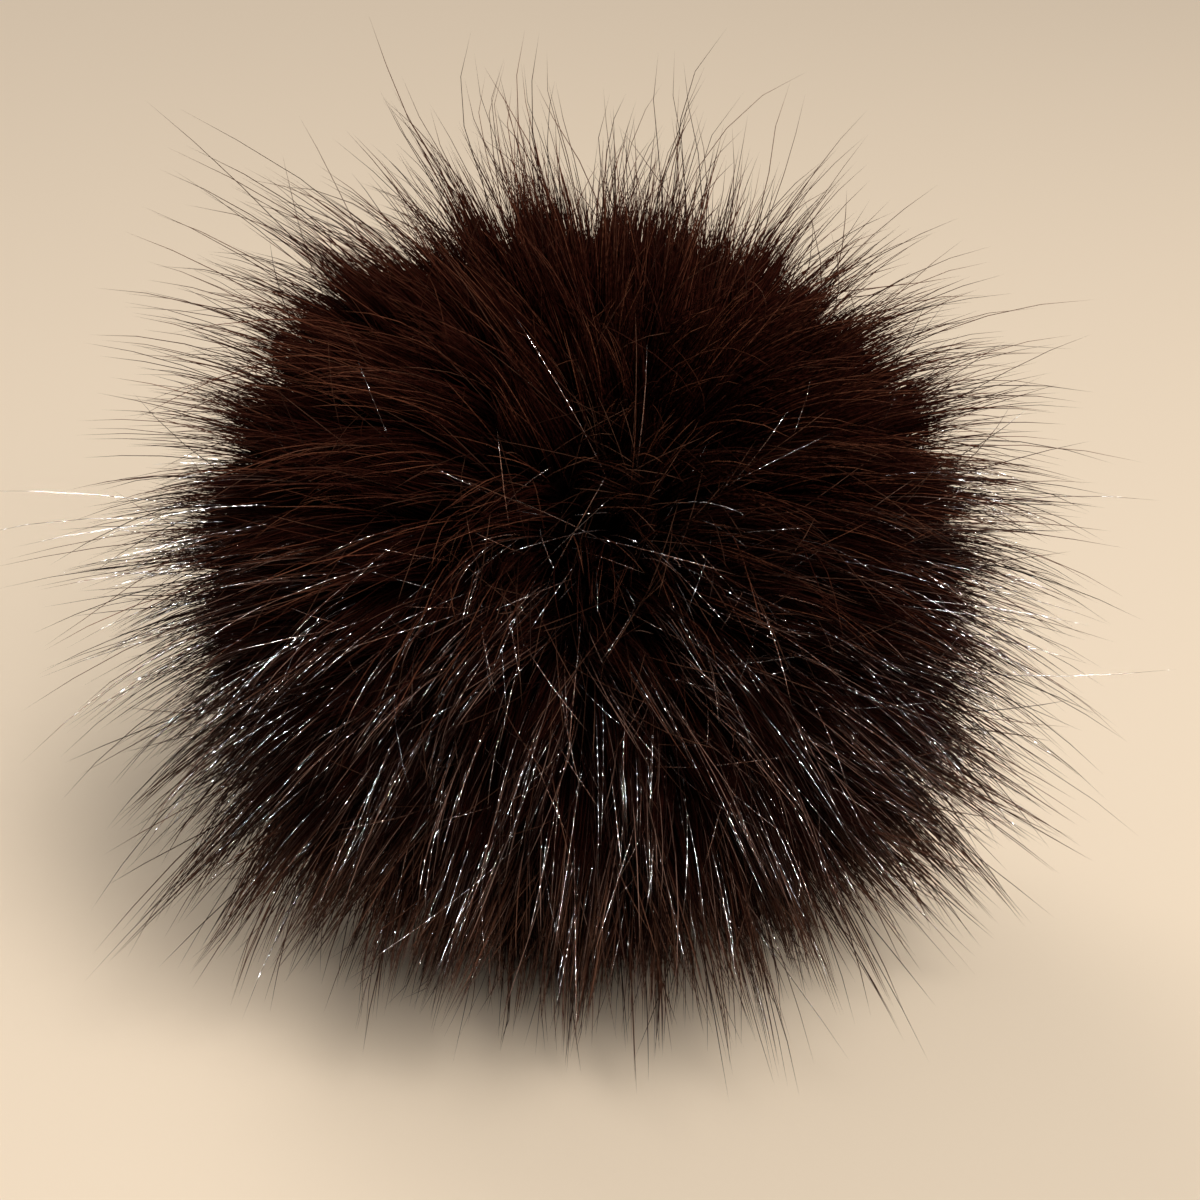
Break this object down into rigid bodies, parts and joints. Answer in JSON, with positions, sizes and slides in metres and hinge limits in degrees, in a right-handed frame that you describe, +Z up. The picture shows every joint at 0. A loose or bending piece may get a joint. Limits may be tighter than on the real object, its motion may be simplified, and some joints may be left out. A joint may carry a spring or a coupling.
{
  "type": "faux fur pom pom",
  "caption": "Round long-pile faux fur pom pom in very dark brown, lying on a surface with its guard hairs drawn into pointed locks and its lowest hair spread out along the surface.",
  "frame": {"origin": "on the surface the pom pom lies on, under the middle of its bounding box", "axes": "+Z up, the pictured side facing -Y, +X to the viewer's right"},
  "size_m": [0.128, 0.128, 0.108],
  "materials": {
    "dark_brown_fur": "glossy modacrylic pile, near-black underfur with reddish brown guard hairs"
  },
  "bodies": {
    "root": {"fur_ball": "dark_brown_fur"}
  },
  "joints": []
}
